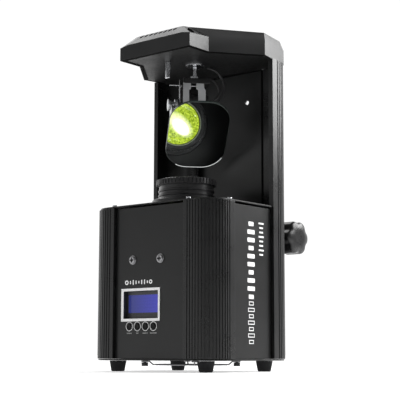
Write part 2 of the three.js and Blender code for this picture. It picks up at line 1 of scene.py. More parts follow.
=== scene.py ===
# Looks of the scanner light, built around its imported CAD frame.
# Pieces are drawn in millimetres in a frame of the housing, the pan head or the tilting mirror,
# and become metres when they are placed.
import json
import math

import bmesh
import bpy
from mathutils import Matrix, Vector


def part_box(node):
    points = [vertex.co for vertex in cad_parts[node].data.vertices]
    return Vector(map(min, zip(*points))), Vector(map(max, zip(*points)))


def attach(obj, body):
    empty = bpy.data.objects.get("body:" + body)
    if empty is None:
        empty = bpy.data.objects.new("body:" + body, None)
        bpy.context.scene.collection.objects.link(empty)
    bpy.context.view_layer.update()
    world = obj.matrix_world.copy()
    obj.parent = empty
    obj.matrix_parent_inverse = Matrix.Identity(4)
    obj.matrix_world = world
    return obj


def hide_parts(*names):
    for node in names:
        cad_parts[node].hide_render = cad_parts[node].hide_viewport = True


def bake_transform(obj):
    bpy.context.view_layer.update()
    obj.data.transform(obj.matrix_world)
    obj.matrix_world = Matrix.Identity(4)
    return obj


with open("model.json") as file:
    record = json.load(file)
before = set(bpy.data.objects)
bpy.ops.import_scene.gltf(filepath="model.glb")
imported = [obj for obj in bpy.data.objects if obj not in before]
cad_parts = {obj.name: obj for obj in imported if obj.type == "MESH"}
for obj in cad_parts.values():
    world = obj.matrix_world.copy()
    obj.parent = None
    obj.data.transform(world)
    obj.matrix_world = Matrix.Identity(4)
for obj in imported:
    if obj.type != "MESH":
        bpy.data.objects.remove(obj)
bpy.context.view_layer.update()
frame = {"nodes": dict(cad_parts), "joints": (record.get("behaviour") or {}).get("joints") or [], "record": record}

# ---------- Frames ----------
MM = 0.001
QUARTER = math.pi / 2
TILT_REST = math.radians(49.7)   # how far the mirror's face looks down at rest


def turn(angle, axis):
    return Matrix.Rotation(angle, 4, axis)


def shift(x, y, z):
    return Matrix.Translation((x, y, z))


def configured(thing, **settings):
    for key, value in settings.items():
        setattr(thing, key, value)
    return thing


def linked(name, data):
    """New object in the scene."""
    thing = bpy.data.objects.new(name, data)
    bpy.context.scene.collection.objects.link(thing)
    return thing


# HOUSE stands in the middle of the base plate's underside. PAN stands below the pan axis, with X along
# the tilt axis. TILT sits on the tilt axis and is turned with the mirror.
base_low, base_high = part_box("base_plate")
house_origin = Vector(((base_low.x + base_high.x) / 2, (base_low.y + base_high.y) / 2, base_low.z))
HOUSE = Matrix.Translation(house_origin) @ Matrix.Scale(MM, 4)


def house_box(name):
    """Low and high corner of a CAD node in the housing's frame."""
    low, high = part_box(name)
    return (low - house_origin) / MM, (high - house_origin) / MM


def middle(name):
    """Middle of a CAD node in the housing's frame."""
    low, high = house_box(name)
    return (low + high) / 2


tilt_joint = next(joint for joint in frame["joints"] if joint["name"] == "mirror_tilt")
tilt_point = Vector(tilt_joint["pos_m"])
PAN_REST = math.atan2(tilt_joint["axis"][1], tilt_joint["axis"][0])
PAN = (Matrix.Translation((tilt_point.x, tilt_point.y, house_origin.z)) @ turn(PAN_REST, "Z")
       @ Matrix.Scale(MM, 4))
TILT = Matrix.Translation(tilt_point) @ turn(PAN_REST, "Z") @ turn(TILT_REST, "X") @ Matrix.Scale(MM, 4)
TO_FRONT = turn(QUARTER, "X")    # a shape made along +Z points to the front
TO_REAR = turn(-QUARTER, "X")
TO_RIGHT = turn(QUARTER, "Y")
SIDE_DRAWING = Matrix(((0, 0, 1, 0), (1, 0, 0, 0), (0, 1, 0, 0), (0, 0, 0, 1)))   # drawn as (Y, Z), +X thick


# ---------- Shapes: lists of corners and faces, in millimetres ----------
def ring_points(radius, count, x=0, y=0):
    step = 2 * math.pi / count
    return [(x + radius * math.cos(i * step), y + radius * math.sin(i * step)) for i in range(count)]


def rounded_rectangle(half_x, half_y, radius, steps=10):
    points = []
    for number, (sx, sy) in enumerate(((1, 1), (-1, 1), (-1, -1), (1, -1))):
        for i in range(steps + 1):
            angle = (number + i / steps) * QUARTER
            points.append((sx * (half_x - radius) + radius * math.cos(angle),
                           sy * (half_y - radius) + radius * math.sin(angle)))
    return points


def rectangle(x0, y0, x1, y1, margin=0.0):
    x0, y0, x1, y1 = x0 - margin, y0 - margin, x1 + margin, y1 + margin
    return [(x0, y0), (x1, y0), (x1, y1), (x0, y1)]


def stacked(rings, closed_ring=False):
    """Skin over rings of corners; a ring of one corner is a tip."""
    verts, rows, faces = [], [], []
    for ring in rings:
        rows.append(range(len(verts), len(verts) + len(ring)))
        verts.extend(ring)
    pairs = list(zip(rows, rows[1:]))
    if closed_ring:
        pairs.append((rows[-1], rows[0]))
    for low, high in pairs:
        count = max(len(low), len(high))
        for i in range(count):
            j = (i + 1) % count
            corners = [low[i % len(low)], low[j % len(low)], high[j % len(high)], high[i % len(high)]]
            corners = list(dict.fromkeys(corners))
            if len(corners) > 2:
                faces.append(corners)
    if not closed_ring:
        for row, flip in ((rows[0], -1), (rows[-1], 1)):
            if len(row) > 2:
                faces.append(list(row)[::flip])
    return verts, faces


def turned(points, segments=64, closed=False):
    """Surface of revolution about Z through (radius, height) points."""
    rings = []
    for radius, height in points:
        if radius < 1e-6:
            rings.append([(0, 0, height)])
        else:
            rings.append([(x, y, height) for x, y in ring_points(radius, segments)])
    return stacked(rings, closed)


def rounded(points, radius=0.5, steps=3):
    """Rounds the corners of an open (radius, height) line that are not on the axis."""
    result = [points[0]]
    for before, corner, after in zip(points, points[1:], points[2:]):
        back = Vector(before) - Vector(corner)
        ahead = Vector(after) - Vector(corner)
        reach = min(radius, back.length / 2.2, ahead.length / 2.2)
        start = Vector(corner) + back.normalized() * reach
        end = Vector(corner) + ahead.normalized() * reach
        for i in range(steps + 1):
            t = i / steps
            point = start.lerp(Vector(corner), t).lerp(Vector(corner).lerp(end, t), t)
            result.append((point.x, point.y))
    result.append(points[-1])
    return result


def plate(outline, thickness, holes=(), bevel=0.3, rise=1):
    """Flat plate drawn in X and Y from 0 up to its thickness, with softened edges."""
    curve = configured(
        bpy.data.curves.new("outline", "CURVE"), dimensions="2D", fill_mode="BOTH",
        extrude=thickness / 2 - bevel, bevel_depth=bevel, bevel_resolution=rise, offset=-bevel)
    for loop in (outline, *holes):
        spline = curve.splines.new("POLY")
        spline.points.add(len(loop) - 1)
        for point, (x, y) in zip(spline.points, loop):
            point.co = (x, y, 0, 1)
        spline.use_cyclic_u = True
    holder = bpy.data.objects.new("outline", curve)
    mesh = bpy.data.meshes.new_from_object(holder)
    verts = [(v.co.x, v.co.y, v.co.z + thickness / 2) for v in mesh.vertices]
    faces = [tuple(p.vertices) for p in mesh.polygons]
    bpy.data.objects.remove(holder)
    bpy.data.curves.remove(curve)
    bpy.data.meshes.remove(mesh)
    return verts, faces


def block(x0, y0, z0, x1, y1, z1, bevel=0.3):
    verts, faces = plate(rectangle(x0, y0, x1, y1), z1 - z0, bevel=bevel)
    return [(x, y, z + z0) for x, y, z in verts], faces


def tube(points, radius, sides=14, loop=False):
    """Round wire along a line of points."""
    points = [Vector(p) for p in points]
    count = len(points)
    rings = []
    side = None
    for i, point in enumerate(points):
        before = points[i - 1] if loop or i > 0 else point
        after = points[(i + 1) % count] if loop or i < count - 1 else point
        ahead = (after - before).normalized()
        if side is None:
            side = ahead.orthogonal().normalized()
        side = (side - ahead * side.dot(ahead)).normalized()
        other = ahead.cross(side)
        rings.append([tuple(point + side * radius * math.cos(a) + other * radius * math.sin(a))
                      for a in (2 * math.pi * k / sides for k in range(sides))])
    return stacked(rings, loop)


def smooth_line(points, per_span=8):
    """Catmull-Rom line through the points."""
    points = [Vector(p) for p in points]
    padded = [points[0], *points, points[-1]]
    line = []
    for a, b, c, d in zip(padded, padded[1:], padded[2:], padded[3:]):
        for i in range(per_span):
            t = i / per_span
            line.append(0.5 * ((2 * b) + (c - a) * t + (2 * a - 5 * b + 4 * c - d) * t * t
                               + (3 * b - a - 3 * c + d) * t ** 3))
    return [*line, points[-1]]


def moved(shape, matrix):
    verts, faces = shape
    return [tuple(matrix @ Vector(v)) for v in verts], faces


def joined(*shapes):
    verts, faces = [], []
    for some_verts, some_faces in shapes:
        start = len(verts)
        verts.extend(some_verts)
        faces.extend([tuple(i + start for i in face) for face in some_faces])
    return verts, faces


def make(name, shape, material, stands_for=(), matrix=HOUSE, body="housing", sharp=35, bend=None):
    """Places a shape as a piece that rides on a body; a piece given bend is left where it is placed, on no body.
    """
    verts, faces = moved(shape, matrix)
    mesh = bpy.data.meshes.new(name)
    mesh.from_pydata(verts, [], faces)
    merge_corners(mesh)
    mesh.polygons.foreach_set("use_smooth", [True] * len(mesh.polygons))
    mesh.set_sharp_from_angle(angle=math.radians(sharp))
    mesh.materials.append(material)
    piece = linked(name, mesh)
    keep_flats_flat(piece)
    if bend:
        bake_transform(piece)
    else:
        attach(piece, body)
    if stands_for:
        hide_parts(*stands_for)
    return piece


def keep_flats_flat(piece):
    """Large faces keep their own normal, so that only the small edge faces shade round."""
    configured(piece.modifiers.new("normals", "WEIGHTED_NORMAL"), weight=100, keep_sharp=True)


def merge_corners(mesh):
    """Merges doubled corners and turns every face outwards."""
    work = bmesh.new()
    work.from_mesh(mesh)
    bmesh.ops.remove_doubles(work, verts=work.verts, dist=2e-6)
    bmesh.ops.recalc_face_normals(work, faces=work.faces)
    work.to_mesh(mesh)
    work.free()


# ---------- Materials ----------
def feed(target, inputs):
    """Links sockets to a node's inputs and sets its other inputs to plain values."""
    for key, value in inputs.items():
        if isinstance(value, bpy.types.NodeSocket):
            target.id_data.links.new(value, target.inputs[key])
        else:
            target.inputs[key].default_value = value


def node(tree, kind, inputs=None, **settings):
    made = configured(tree.nodes.new(kind), **settings)
    feed(made, inputs or {})
    return made


def grey(level):
    return (level, level, level, 1)


def scaled(colour, factor):
    return (*(level * factor for level in colour), 1)


def start_material(name):
    material = bpy.data.materials.new(name)
    material.use_nodes = True
    tree = material.node_tree
    where = node(tree, "ShaderNodeTexCoord").outputs["Object"]
    return material, tree, tree.nodes["Principled BSDF"], where


def noise(tree, where, scale, detail=2.0, stretch=(1, 1, 1)):
    spot = node(tree, "ShaderNodeMapping", {"Vector": where, "Scale": stretch}).outputs[0]
    return node(tree, "ShaderNodeTexNoise", {"Vector": spot, "Scale": scale, "Detail": detail}).outputs["Fac"]


def spread(tree, value, low, high, start=0.3, end=0.7):
    """Turns start...end into low...high."""
    return node(tree, "ShaderNodeMapRange", {
        "Value": value, "From Min": start, "From Max": end, "To Min": low, "To Max": high}).outputs[0]


def length(tree, vector):
    return node(tree, "ShaderNodeVectorMath", {0: vector}, operation="LENGTH").outputs["Value"]


def multiplied(tree, first, second):
    return node(tree, "ShaderNodeMath", {0: first, 1: second}, operation="MULTIPLY").outputs[0]


def mixed(tree, factor, first, second, blend="MIX"):
    return node(tree, "ShaderNodeMix", {"Factor": factor, "A": first, "B": second}, data_type="RGBA",
                blend_type=blend).outputs["Result"]


def relief(tree, height, strength, depth):
    """Surface normal of a pattern that is as deep as this many millimetres."""
    return node(tree, "ShaderNodeBump", {
        "Height": height, "Strength": strength, "Distance": depth * MM}).outputs[0]


def surface(name, colour, rough, metallic=0.0, specular=0.5, grain=2000, grain_height=0.03,
            blotch=0.12, scuffs=0.0, stretch=(1, 1, 1), glow=0.0):
    """A real finish: cloudy colour, uneven gloss, a fine grain and thin scuffs; glow adds painted light, a shine
    the surface gives off by itself.
    """
    material, tree, shader, where = start_material(name)
    cloud = noise(tree, where, 38, 3)
    tint = mixed(tree, spread(tree, cloud, 0, 1), scaled(colour, 1 - blotch), scaled(colour, 1 + blotch))
    wear = noise(tree, where, 420, 4, (1, 1, 6))
    if scuffs > 0:
        marks = spread(tree, wear, 0, scuffs, 0.66, 0.74)
        tint = mixed(tree, marks, tint, scaled(colour, 2.6))
    feed(shader, {
        "Base Color": tint,
        "Roughness": spread(tree, multiplied(tree, cloud, wear), rough * 0.86, rough * 1.16, 0.12, 0.42),
        "Normal": relief(tree, noise(tree, where, grain, 3, stretch), 0.6, grain_height),
        "Metallic": metallic,
        "Specular IOR Level": specular})
    # glow paints light into the finish: the surface shines though it is no lamp
    if glow > 0:
        feed(shader, {"Emission Color": tint, "Emission Strength": glow})
    return material


POWDER = (0.0065, 0.0068, 0.007)    # base colour of every black coat
black_powder = surface("black_powder_coat", POWDER, 0.33, specular=0.45, grain=1500, grain_height=0.016,
                       scuffs=0.1)
black_satin = surface("black_anodised_profile", POWDER, 0.3, grain=2600, grain_height=0.01,
                      stretch=(1, 1, 0.03), scuffs=0.08)
cover_powder = surface("head_cover_coat", POWDER, 0.4, specular=0.55, grain=1300, grain_height=0.018,
                       scuffs=0.08)
tray_powder = surface("head_tray_coat", POWDER, 0.52, specular=0.45, grain=1500, scuffs=0.08)
lens_black = surface("lens_black_anodised", (0.016, 0.016, 0.017), 0.3, specular=0.55, grain=2400,
                     grain_height=0.015, stretch=(1, 1, 8))

dark_moulding = surface("dark_moulded_plastic", (0.02, 0.0205, 0.0215), 0.48, grain=1900, grain_height=0.05)
knob_moulding = surface("knob_plastic", (0.007, 0.007, 0.0075), 0.3, grain=1700)
key_moulding = surface("key_plastic", (0.0025, 0.0025, 0.0028), 0.4, specular=0.22, grain=1900)
# White plastic with a painted glow that makes it brighter than the lamps alone would
white_plastic_painted_glow = surface("white_moulded_plastic_painted_glow", (0.92, 0.92, 0.92), 0.42, grain=1800, blotch=0.02,
                         glow=0.12)
display_border = surface("display_border", (0.045, 0.045, 0.05), 0.3, grain=2200, grain_height=0.02)
cable_jacket = surface("cable_jacket", (0.02, 0.02, 0.021), 0.34, grain=1300)
black_rubber = surface("black_rubber", (0.012, 0.012, 0.013), 0.78, specular=0.3, grain=1100,
                       grain_height=0.09)
# Near-black fill that paints shade into recesses, gaps, seams and a slot
painted_shade_fill = surface("painted_shade_black", (0.002, 0.002, 0.002), 0.9, specular=0.08, grain=1000,
                    grain_height=0.08)

zinc_steel = surface("zinc_steel", (0.6, 0.61, 0.63), 0.26, metallic=1, grain=2400, grain_height=0.01,
                     stretch=(1, 1, 12), blotch=0.08)
screw_steel = surface("screw_steel", (0.4, 0.4, 0.41), 0.3, metallic=1, grain=2400, grain_height=0.015)
nickel_steel = surface("nickel_steel", (0.3, 0.3, 0.3), 0.3, metallic=1, grain=2400, grain_height=0.02)
dark_steel = surface("blackened_steel", (0.03, 0.03, 0.031), 0.35, grain_height=0.02)
guard_wire = surface("guard_wire", (0.3, 0.3, 0.31), 0.3, metallic=0.8, grain_height=0.02)
satin_aluminium = surface("satin_aluminium", (0.62, 0.63, 0.64), 0.4, metallic=1, grain=2600,
                          grain_height=0.012, stretch=(14, 14, 1), blotch=0.06)
# The lip's pale green-yellow tint and its glow are painted light that falls on it from the lens
lip_painted_light = surface("lens_lip", (0.5, 0.56, 0.42), 0.5, grain=2400, grain_height=0.02, glow=0.2)

# White print with a painted glow that makes it brighter than the lamps alone would
white_print_painted_glow = surface("white_screen_print_painted_glow", (0.92, 0.92, 0.92), 0.6, grain=2600, grain_height=0.02,
                      blotch=0.05, glow=0.12)
grey_print = surface("grey_screen_print", (0.45, 0.45, 0.45), 0.6, grain=2600, grain_height=0.02, blotch=0.2)


def circuit_board():
    """Green mask over a maze of slightly raised traces, with tinned pads."""
    material, tree, shader, where = start_material("circuit_board")
    cells = node(tree, "ShaderNodeTexVoronoi", {"Vector": where, "Scale": 260, "Randomness": 0.2},
                 distance="MANHATTAN")
    pads = spread(tree, cells.outputs["Distance"], 1, 0, 0.12, 0.2)
    traces = spread(tree, noise(tree, where, 420, 1), 0, 1, 0.5, 0.54)
    green = mixed(tree, traces, (0.012, 0.09, 0.035, 1), (0.025, 0.16, 0.06, 1))
    feed(shader, {
        "Base Color": mixed(tree, pads, green, grey(0.6)),
        "Roughness": 0.35,
        "Normal": relief(tree, traces, 0.4, 0.04)})
    return material


def lit_display():
    """Backlit blue display: a dot grid, faint bars, brighter to the right."""
    material, tree, shader, where = start_material("lit_display")
    low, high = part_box("lcd_module")
    x = node(tree, "ShaderNodeSeparateXYZ", {0: where}).outputs["X"]
    upright = node(tree, "ShaderNodeMapping", {"Vector": where, "Rotation": (QUARTER, 0, 0)}).outputs[0]
    dots = node(tree, "ShaderNodeTexBrick", {
        "Vector": upright, "Scale": 1900, "Mortar Size": 0.06, "Brick Width": 1.0, "Row Height": 1.0,
        "Color1": grey(1), "Color2": grey(0.96), "Mortar": grey(0.8)}, offset=0)
    bars = node(tree, "ShaderNodeTexWave", {"Vector": where, "Scale": 95, "Distortion": 1.5},
                bands_direction="Z")
    across = spread(tree, x, 0, 1, low.x, high.x)
    shade = mixed(tree, across, (0.028, 0.037, 0.155, 1), (0.05, 0.052, 0.44, 1))
    shade = mixed(tree, spread(tree, bars.outputs["Fac"], 0, 0.22, 0.6, 0.9), shade, (0.03, 0.03, 0.2, 1))
    feed(shader, {
        "Base Color": (0.01, 0.01, 0.03, 1),
        "Emission Color": mixed(tree, 1, shade, dots.outputs["Color"], blend="MULTIPLY"),
        "Emission Strength": 1,
        "Roughness": spread(tree, noise(tree, where, 90), 0.1, 0.18)})
    return material


def glowing_lens():
    """Coated lens with the light source seen through it: white-hot middle, speckled green-yellow rim."""
    material, tree, shader, where = start_material("glowing_lens")
    low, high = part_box("front_lens")
    centre = (low + high) / 2

    def distance(x, y, half_x, half_y):
        """Grows from 0 at a point on the glass to 1 on an ellipse round it."""
        spot = (centre.x + x * MM, centre.y + y * MM, high.z)
        flat = node(tree, "ShaderNodeVectorMath", {0: where, 1: spot}, operation="SUBTRACT").outputs[0]
        squeezed = node(tree, "ShaderNodeMapping", {
            "Vector": flat, "Scale": (1 / (half_x * MM), 1 / (half_y * MM), 0)})
        return length(tree, squeezed.outputs[0])

    sparkle = node(tree, "ShaderNodeTexVoronoi", {"Vector": where, "Scale": 620}).outputs["Color"]
    speck = noise(tree, where, 330, 4)
    rim = mixed(tree, spread(tree, sparkle, 0, 1, 0.25, 0.75), (0.2, 0.32, 0.01, 1), (0.78, 1.0, 0.09, 1))
    rim = mixed(tree, spread(tree, speck, 0, 0.5, 0.35, 0.7), rim, (0.42, 0.58, 0.03, 1))
    hot = spread(tree, distance(-0.5, 1, 10, 19), 1, 0, 0.5, 1.15)
    wavering = multiplied(tree, hot, spread(tree, speck, 0.75, 1.2))
    glow = mixed(tree, wavering, rim, (1.5, 1.6, 0.85, 1))
    core = spread(tree, distance(-2, 5, 6.5, 10.5), 1, 0, 0.45, 1.25)
    feed(shader, {
        "Base Color": (0.05, 0.06, 0.02, 1),
        "Emission Color": mixed(tree, core, glow, (3.2, 3.2, 2.9, 1)),
        "Emission Strength": 1,
        "Roughness": 0.05,
        "Coat Weight": 0.5,
        "Normal": relief(tree, speck, 0.15, 0.02)})
    return material


def silvered_mirror():
    """Mirror with a little dust."""
    material, tree, shader, where = start_material("silvered_mirror")
    dust = noise(tree, where, 900, 4)
    feed(shader, {
        "Base Color": mixed(tree, spread(tree, dust, 0, 0.5, 0.68, 0.8), (0.86, 0.88, 0.88, 1), grey(0.6)),
        "Roughness": spread(tree, dust, 0.012, 0.03),
        "Metallic": 1})
    return material


def chipped_glass(name, scale, dark, light, smooth, rough, glow=0.0):
    """Finely chipped edge of a glass plate; with glow it carries a painted highlight."""
    material, tree, shader, where = start_material(name)
    chips = noise(tree, where, scale, 3)
    tint = mixed(tree, chips, dark, light)
    feed(shader, {"Base Color": tint, "Roughness": spread(tree, chips, smooth, rough)})
    if glow > 0:
        feed(shader, {"Emission Color": tint, "Emission Strength": glow})
    return material


def phosphor():
    """Yellow coat of a light-emitting chip, with faint cells."""
    material, tree, shader, where = start_material("led_phosphor")
    cells = node(tree, "ShaderNodeTexVoronoi", {"Vector": where, "Scale": 700}).outputs["Distance"]
    feed(shader, {
        "Base Color": mixed(tree, cells, (0.8, 0.68, 0.16, 1), (0.6, 0.5, 0.1, 1)),
        "Roughness": spread(tree, noise(tree, where, 300), 0.35, 0.5)})
    return material


display_glow = lit_display()
lens_glow = glowing_lens()
mirror_silver = silvered_mirror()
cut_edge = chipped_glass("cut_glass_edge", 1500, (0.02, 0.03, 0.028, 1), (0.09, 0.11, 0.1, 1), 0.12, 0.3)
edge_painted_highlight = chipped_glass("glass_edge_painted_highlight", 1800, (0.7, 0.74, 0.73, 1), (0.9, 0.92, 0.92, 1), 0.2, 0.45,
                           glow=0.7)
SLOT_LOOKS = {
    "black_paint": black_powder, "dark_plastic": dark_moulding, "rubber": black_rubber,
    "bright_steel": zinc_steel, "raw_aluminium": satin_aluminium, "circuit_board": circuit_board(),
    "white_plastic": white_plastic_painted_glow, "lcd": display_glow, "led_yellow": phosphor(),
    "lens_glass": lens_glow, "mirror_glass": mirror_silver,
}
NODE_LOOKS = {f"{end}_{side}_profile": black_satin for end in ("front", "rear") for side in ("left", "right")}
NODE_LOOKS.update(head_cover=cover_powder, head_tray=tray_powder)


def smooth_by_angle():
    """Node group that shades smooth across shallow edges only."""
    group = bpy.data.node_groups.new("smooth_by_angle", "GeometryNodeTree")
    group.interface.new_socket("Geometry", in_out="INPUT", socket_type="NodeSocketGeometry")
    group.interface.new_socket("Geometry", in_out="OUTPUT", socket_type="NodeSocketGeometry")
    source = node(group, "NodeGroupInput")
    angle = node(group, "GeometryNodeInputMeshEdgeAngle")
    shallow = node(group, "FunctionNodeCompare", {0: angle.outputs["Unsigned Angle"], 1: math.radians(35)},
                   data_type="FLOAT", operation="LESS_EQUAL")
    faces = node(group, "GeometryNodeSetShadeSmooth", {"Geometry": source.outputs[0]}, domain="FACE")
    edges = node(group, "GeometryNodeSetShadeSmooth",
                 {"Geometry": faces.outputs[0], "Shade Smooth": shallow.outputs[0]}, domain="EDGE")
    node(group, "NodeGroupOutput", {0: edges.outputs[0]})
    return group


def dress_frame():
    """Softens the edges of the CAD nodes that stay in view and gives every node its finish."""
    smoothing = smooth_by_angle()
    slots = {part["node"]: part["material_slot"] for part in frame["record"]["subparts"]}
    for name, thing in frame["nodes"].items():
        thing.material_slots[0].link = "OBJECT"
        thing.material_slots[0].material = NODE_LOOKS.get(name, SLOT_LOOKS[slots[name]])
        if thing.hide_render:
            continue
        configured(thing.modifiers.new("weld", "WELD"), merge_threshold=1e-6)
        configured(thing.modifiers.new("merge_flats", "DECIMATE"), decimate_type="DISSOLVE",
                   angle_limit=math.radians(0.4))
        configured(thing.modifiers.new("edge", "BEVEL"), width=0.3 * MM, segments=2, limit_method="ANGLE",
                   angle_limit=math.radians(35))
        configured(thing.modifiers.new("smooth", "NODES"), node_group=smoothing)
        keep_flats_flat(thing)


# ---------- Small hardware ----------
def cross_hole(reach, width):
    half = width / 2
    return [(reach, -half), (reach, half), (half, half), (half, reach), (-half, reach), (-half, half),
            (-reach, half), (-reach, -half), (-half, -half), (-half, -reach), (half, -reach), (half, -half)]


def cross_screw(radius, height, rim=0.0):
    """Pan head with a cross recess, standing on Z 0, on a washer if it has a rim."""
    floor = height * 0.4
    base = turned(rounded([(0, 0), (radius, 0), (radius, floor), (0, floor)], 0.15), 40)
    cap = plate(ring_points(radius, 40), height - floor, [cross_hole(radius * 0.6, radius * 0.26)],
                bevel=min(0.35 * (height - floor), radius * 0.3), rise=2)
    parts = [base, moved(cap, shift(0, 0, floor))]
    if rim:
        parts.append(turned(rounded([(0, -0.2), (rim, -0.2), (rim, 0.45), (0, 0.45)], 0.2), 48))
    return joined(*parts)


def add_screws():
    """Two cross-head screws on washers in the front panel, and four small ones on top of the profiles."""
    for name in ("panel_screw_left", "panel_screw_right"):
        at = middle(name)
        face = shift(at.x, house_box(name)[0].y + 2.2, at.z) @ TO_FRONT
        make("cross_" + name, cross_screw(radius=3.9, height=2.1, rim=4.9), screw_steel,
             [name], matrix=HOUSE @ face)
        # Near-black plate in the cross recess: painted shade of the recess
        recess = moved(plate(cross_hole(reach=2.7, width=1.3), 1.3, bevel=0.02), shift(0, 0, 0.84))
        make("recess_painted_shade_" + name, recess, painted_shade_fill, matrix=HOUSE @ face)
    for name in [f"profile_screw_{side}_{face}" for side in ("left", "right") for face in ("front", "side")]:
        at = middle(name)
        seat = shift(at.x, at.y, house_box(name)[0].z)
        make("cross_" + name, cross_screw(radius=2.5, height=1.6), zinc_steel, [name],
             matrix=HOUSE @ seat)


def add_feet():
    """Tapered rubber feet with a screw hole in the sole."""
    low, high = house_box("foot_front_left")
    tall = high.z - low.z
    hole, sole, edge, top, lip = 2.6, 6.6, 7.4, 9.3, 1.2
    profile = [(0, lip), (hole, lip), (hole, 0), (sole, 0), (edge, lip), (top, tall), (0, tall)]
    for name in [f"foot_{end}_{side}" for end in ("front", "rear") for side in ("left", "right")]:
        at = middle(name)
        make("rubber_" + name, turned(rounded(profile, 0.7)), black_rubber, [name],
             matrix=HOUSE @ shift(at.x, at.y, low.z))


def wire_ring(radius, wire, height, sides, steps, x=0):
    return tube([(px, py, height) for px, py in ring_points(radius, steps, x)], wire, sides, loop=True)


GUARD_EYE = 35.75    # distance of a mounting eye from the fan's middle, along X and along Y


def add_fan_guard():
    """Four wire rings on two crossed bars that bend up to eyes under the base plate."""
    low, high = house_box("fan_guard")
    wire = 0.78
    top = high.z - wire
    bottom = low.z + wire
    rings = [wire_ring(radius, wire, bottom, 10, 72) for radius in (13.2, 22.2, 31.2, 40.2)]
    half = [(0, bottom), (38, bottom), (41.5, bottom + 0.3), (43.6, (top + bottom) / 2), (45.5, top - 0.1),
            (46.8, top)]
    line = [(-reach, z) for reach, z in half[:0:-1]] + half
    bars, eyes = [], []
    for angle in (45, 135):
        aim = turn(math.radians(angle), "Z")
        bars.append(moved(tube(smooth_line([(x, 0, z) for x, z in line], 5), wire, 10), aim))
        for sign in (-1, 1):
            eyes.append(moved(wire_ring(3.3, wire, top, 8, 28, sign * GUARD_EYE * math.sqrt(2)), aim))
    make("wire_guard", joined(*rings, *bars, *eyes), guard_wire, ["fan_guard"])


def add_guard_nuts():
    """Nuts with three ribs, on studs under the base plate."""
    rib, groove, stud = 3.9, 3.3, 1.8
    for name in ("guard_nut_left", "guard_nut_right"):
        low, high = house_box(name)
        at = middle(name)
        tall = high.z - low.z
        profile = [(0, 0), (3.2, 0), (rib, 0.7), (rib, 1.3), (groove, 1.5), (groove, 1.8), (rib, 2.0),
                   (rib, 2.9), (groove, 3.1), (groove, 3.4), (rib, 3.6), (rib, 4), (stud, 4),
                   (stud, tall - 0.1), (0, tall - 0.1)]
        make("knurled_" + name, turned(profile, 40), dark_steel, [name],
             matrix=HOUSE @ shift(at.x, at.y, low.z))


# ---------- Front panel: display, buttons and printing ----------
FRONT_FACE = house_box("front_panel")[0].y
BUTTONS = ("menu_button", "down_button", "up_button", "enter_button")
WINDOW = (-37.1, 44.1, 12.75, 73.5)    # opening of the display frame: low X and Z, high X and Z
GLASS = (-35.3, 50.5, 11.3, 69.5)      # lit part of the display


def add_display():
    """White frame, the dark sleeve behind it, and the display with its border."""
    low, high = house_box("display_bezel")
    window = rectangle(*WINDOW)
    frame_face = plate(rectangle(low.x, low.z, high.x, high.z), 0.8, [window], bevel=0.2)
    # The frame's white plastic carries a painted glow
    make("display_frame", moved(frame_face, shift(0, FRONT_FACE - 0.3, 0) @ TO_FRONT),
         white_plastic_painted_glow, ["display_bezel"])
    deep = 7.6
    wall = plate(rectangle(*WINDOW, margin=1.2), deep, [window], bevel=0.1)
    make("display_sleeve", moved(wall, shift(0, FRONT_FACE + deep - 0.2, 0) @ TO_FRONT),
         dark_moulding)
    module_low, module_high = house_box("lcd_module")
    rim = plate(rectangle(module_low.x, module_low.z, module_high.x, module_high.z), 2.1,
                [rectangle(*GLASS)], bevel=0.15)
    make("display_rim", moved(rim, shift(0, module_high.y, 0) @ TO_FRONT), display_border)
    screen = plate(rectangle(*GLASS, margin=0.3), 1.7, bevel=0.1)
    make("display_screen", moved(screen, shift(0, module_high.y, 0) @ TO_FRONT), display_glow,
         ["lcd_module"])


def add_buttons():
    """Round caps with a dished face, a flange behind the panel and a stem."""
    stem, flange, cap = 1.5, 4.4, 3.45
    profile = [(0, -6.5), (stem, -6.5), (stem, -3.4), (flange, -3.4), (flange, -2.4), (cap, -2.4), (cap, 0.9),
               (2.9, 1.2), (1.6, 1.05), (0, 0.95)]
    for name in BUTTONS:
        at = middle(name)
        spot = shift(at.x, FRONT_FACE, at.z) @ TO_FRONT
        make(name.replace("button", "key_cap"), moved(turned(rounded(profile, 0.25)), spot),
             key_moulding, [name], body=name.replace("button", "key"))


INK = 0.05    # thickness of the print


def printed(name, parts, matrix, ink=white_print_painted_glow):
    make(name, joined(*(moved(part, matrix) for part in parts)), ink)


def ink_ring(x, y, outer, inner):
    return plate(ring_points(outer, 48, x, y), INK, [ring_points(inner, 48, x, y)], bevel=0.01)


def ink_bar(x0, y0, x1, y1, corner=0.0):
    if corner:
        bar = plate(rounded_rectangle((x1 - x0) / 2, (y1 - y0) / 2, corner, 4), INK, bevel=0.01)
        return moved(bar, shift((x0 + x1) / 2, (y0 + y1) / 2, 0))
    return plate(rectangle(x0, y0, x1, y1), INK, bevel=0.01)


def add_button_printing(face):
    """A ring round each button, and short dashes under it."""
    rings, labels = [], []
    low, high = 28.2, 29.3
    for name, dashes in zip(BUTTONS, (4, 2, 4, 5)):
        at = middle(name)
        rings.append(ink_ring(at.x, at.z, 4.95, 4.4))
        for k in range(dashes):
            x = at.x + (k - (dashes - 1) / 2) * 1.9
            labels.append(ink_bar(x - 0.6, low, x + 0.6, high))
    printed("printed_button_rings", rings, face)
    printed("printed_button_labels", labels, face, grey_print)


def add_front_printing():
    face = shift(0, FRONT_FACE - 0.005, 0) @ TO_FRONT
    add_button_printing(face)
    # A generic mark above the display: ring, bars of a level meter, ring
    height = 82.8
    mark = [ink_ring(-33.2, height, 2.6, 1.3)]
    for k in range(7):
        x = -28.6 + k * 4.1
        tall = 1.4 + 1.3 * math.sin(k * 0.9 + 0.6) ** 2
        mark.append(ink_bar(x, height - tall, x + 1.5, height + tall, 0.6))
    mark.append(ink_ring(1.4, height, 2.3, 1.1))
    printed("printed_front_mark", mark, face)


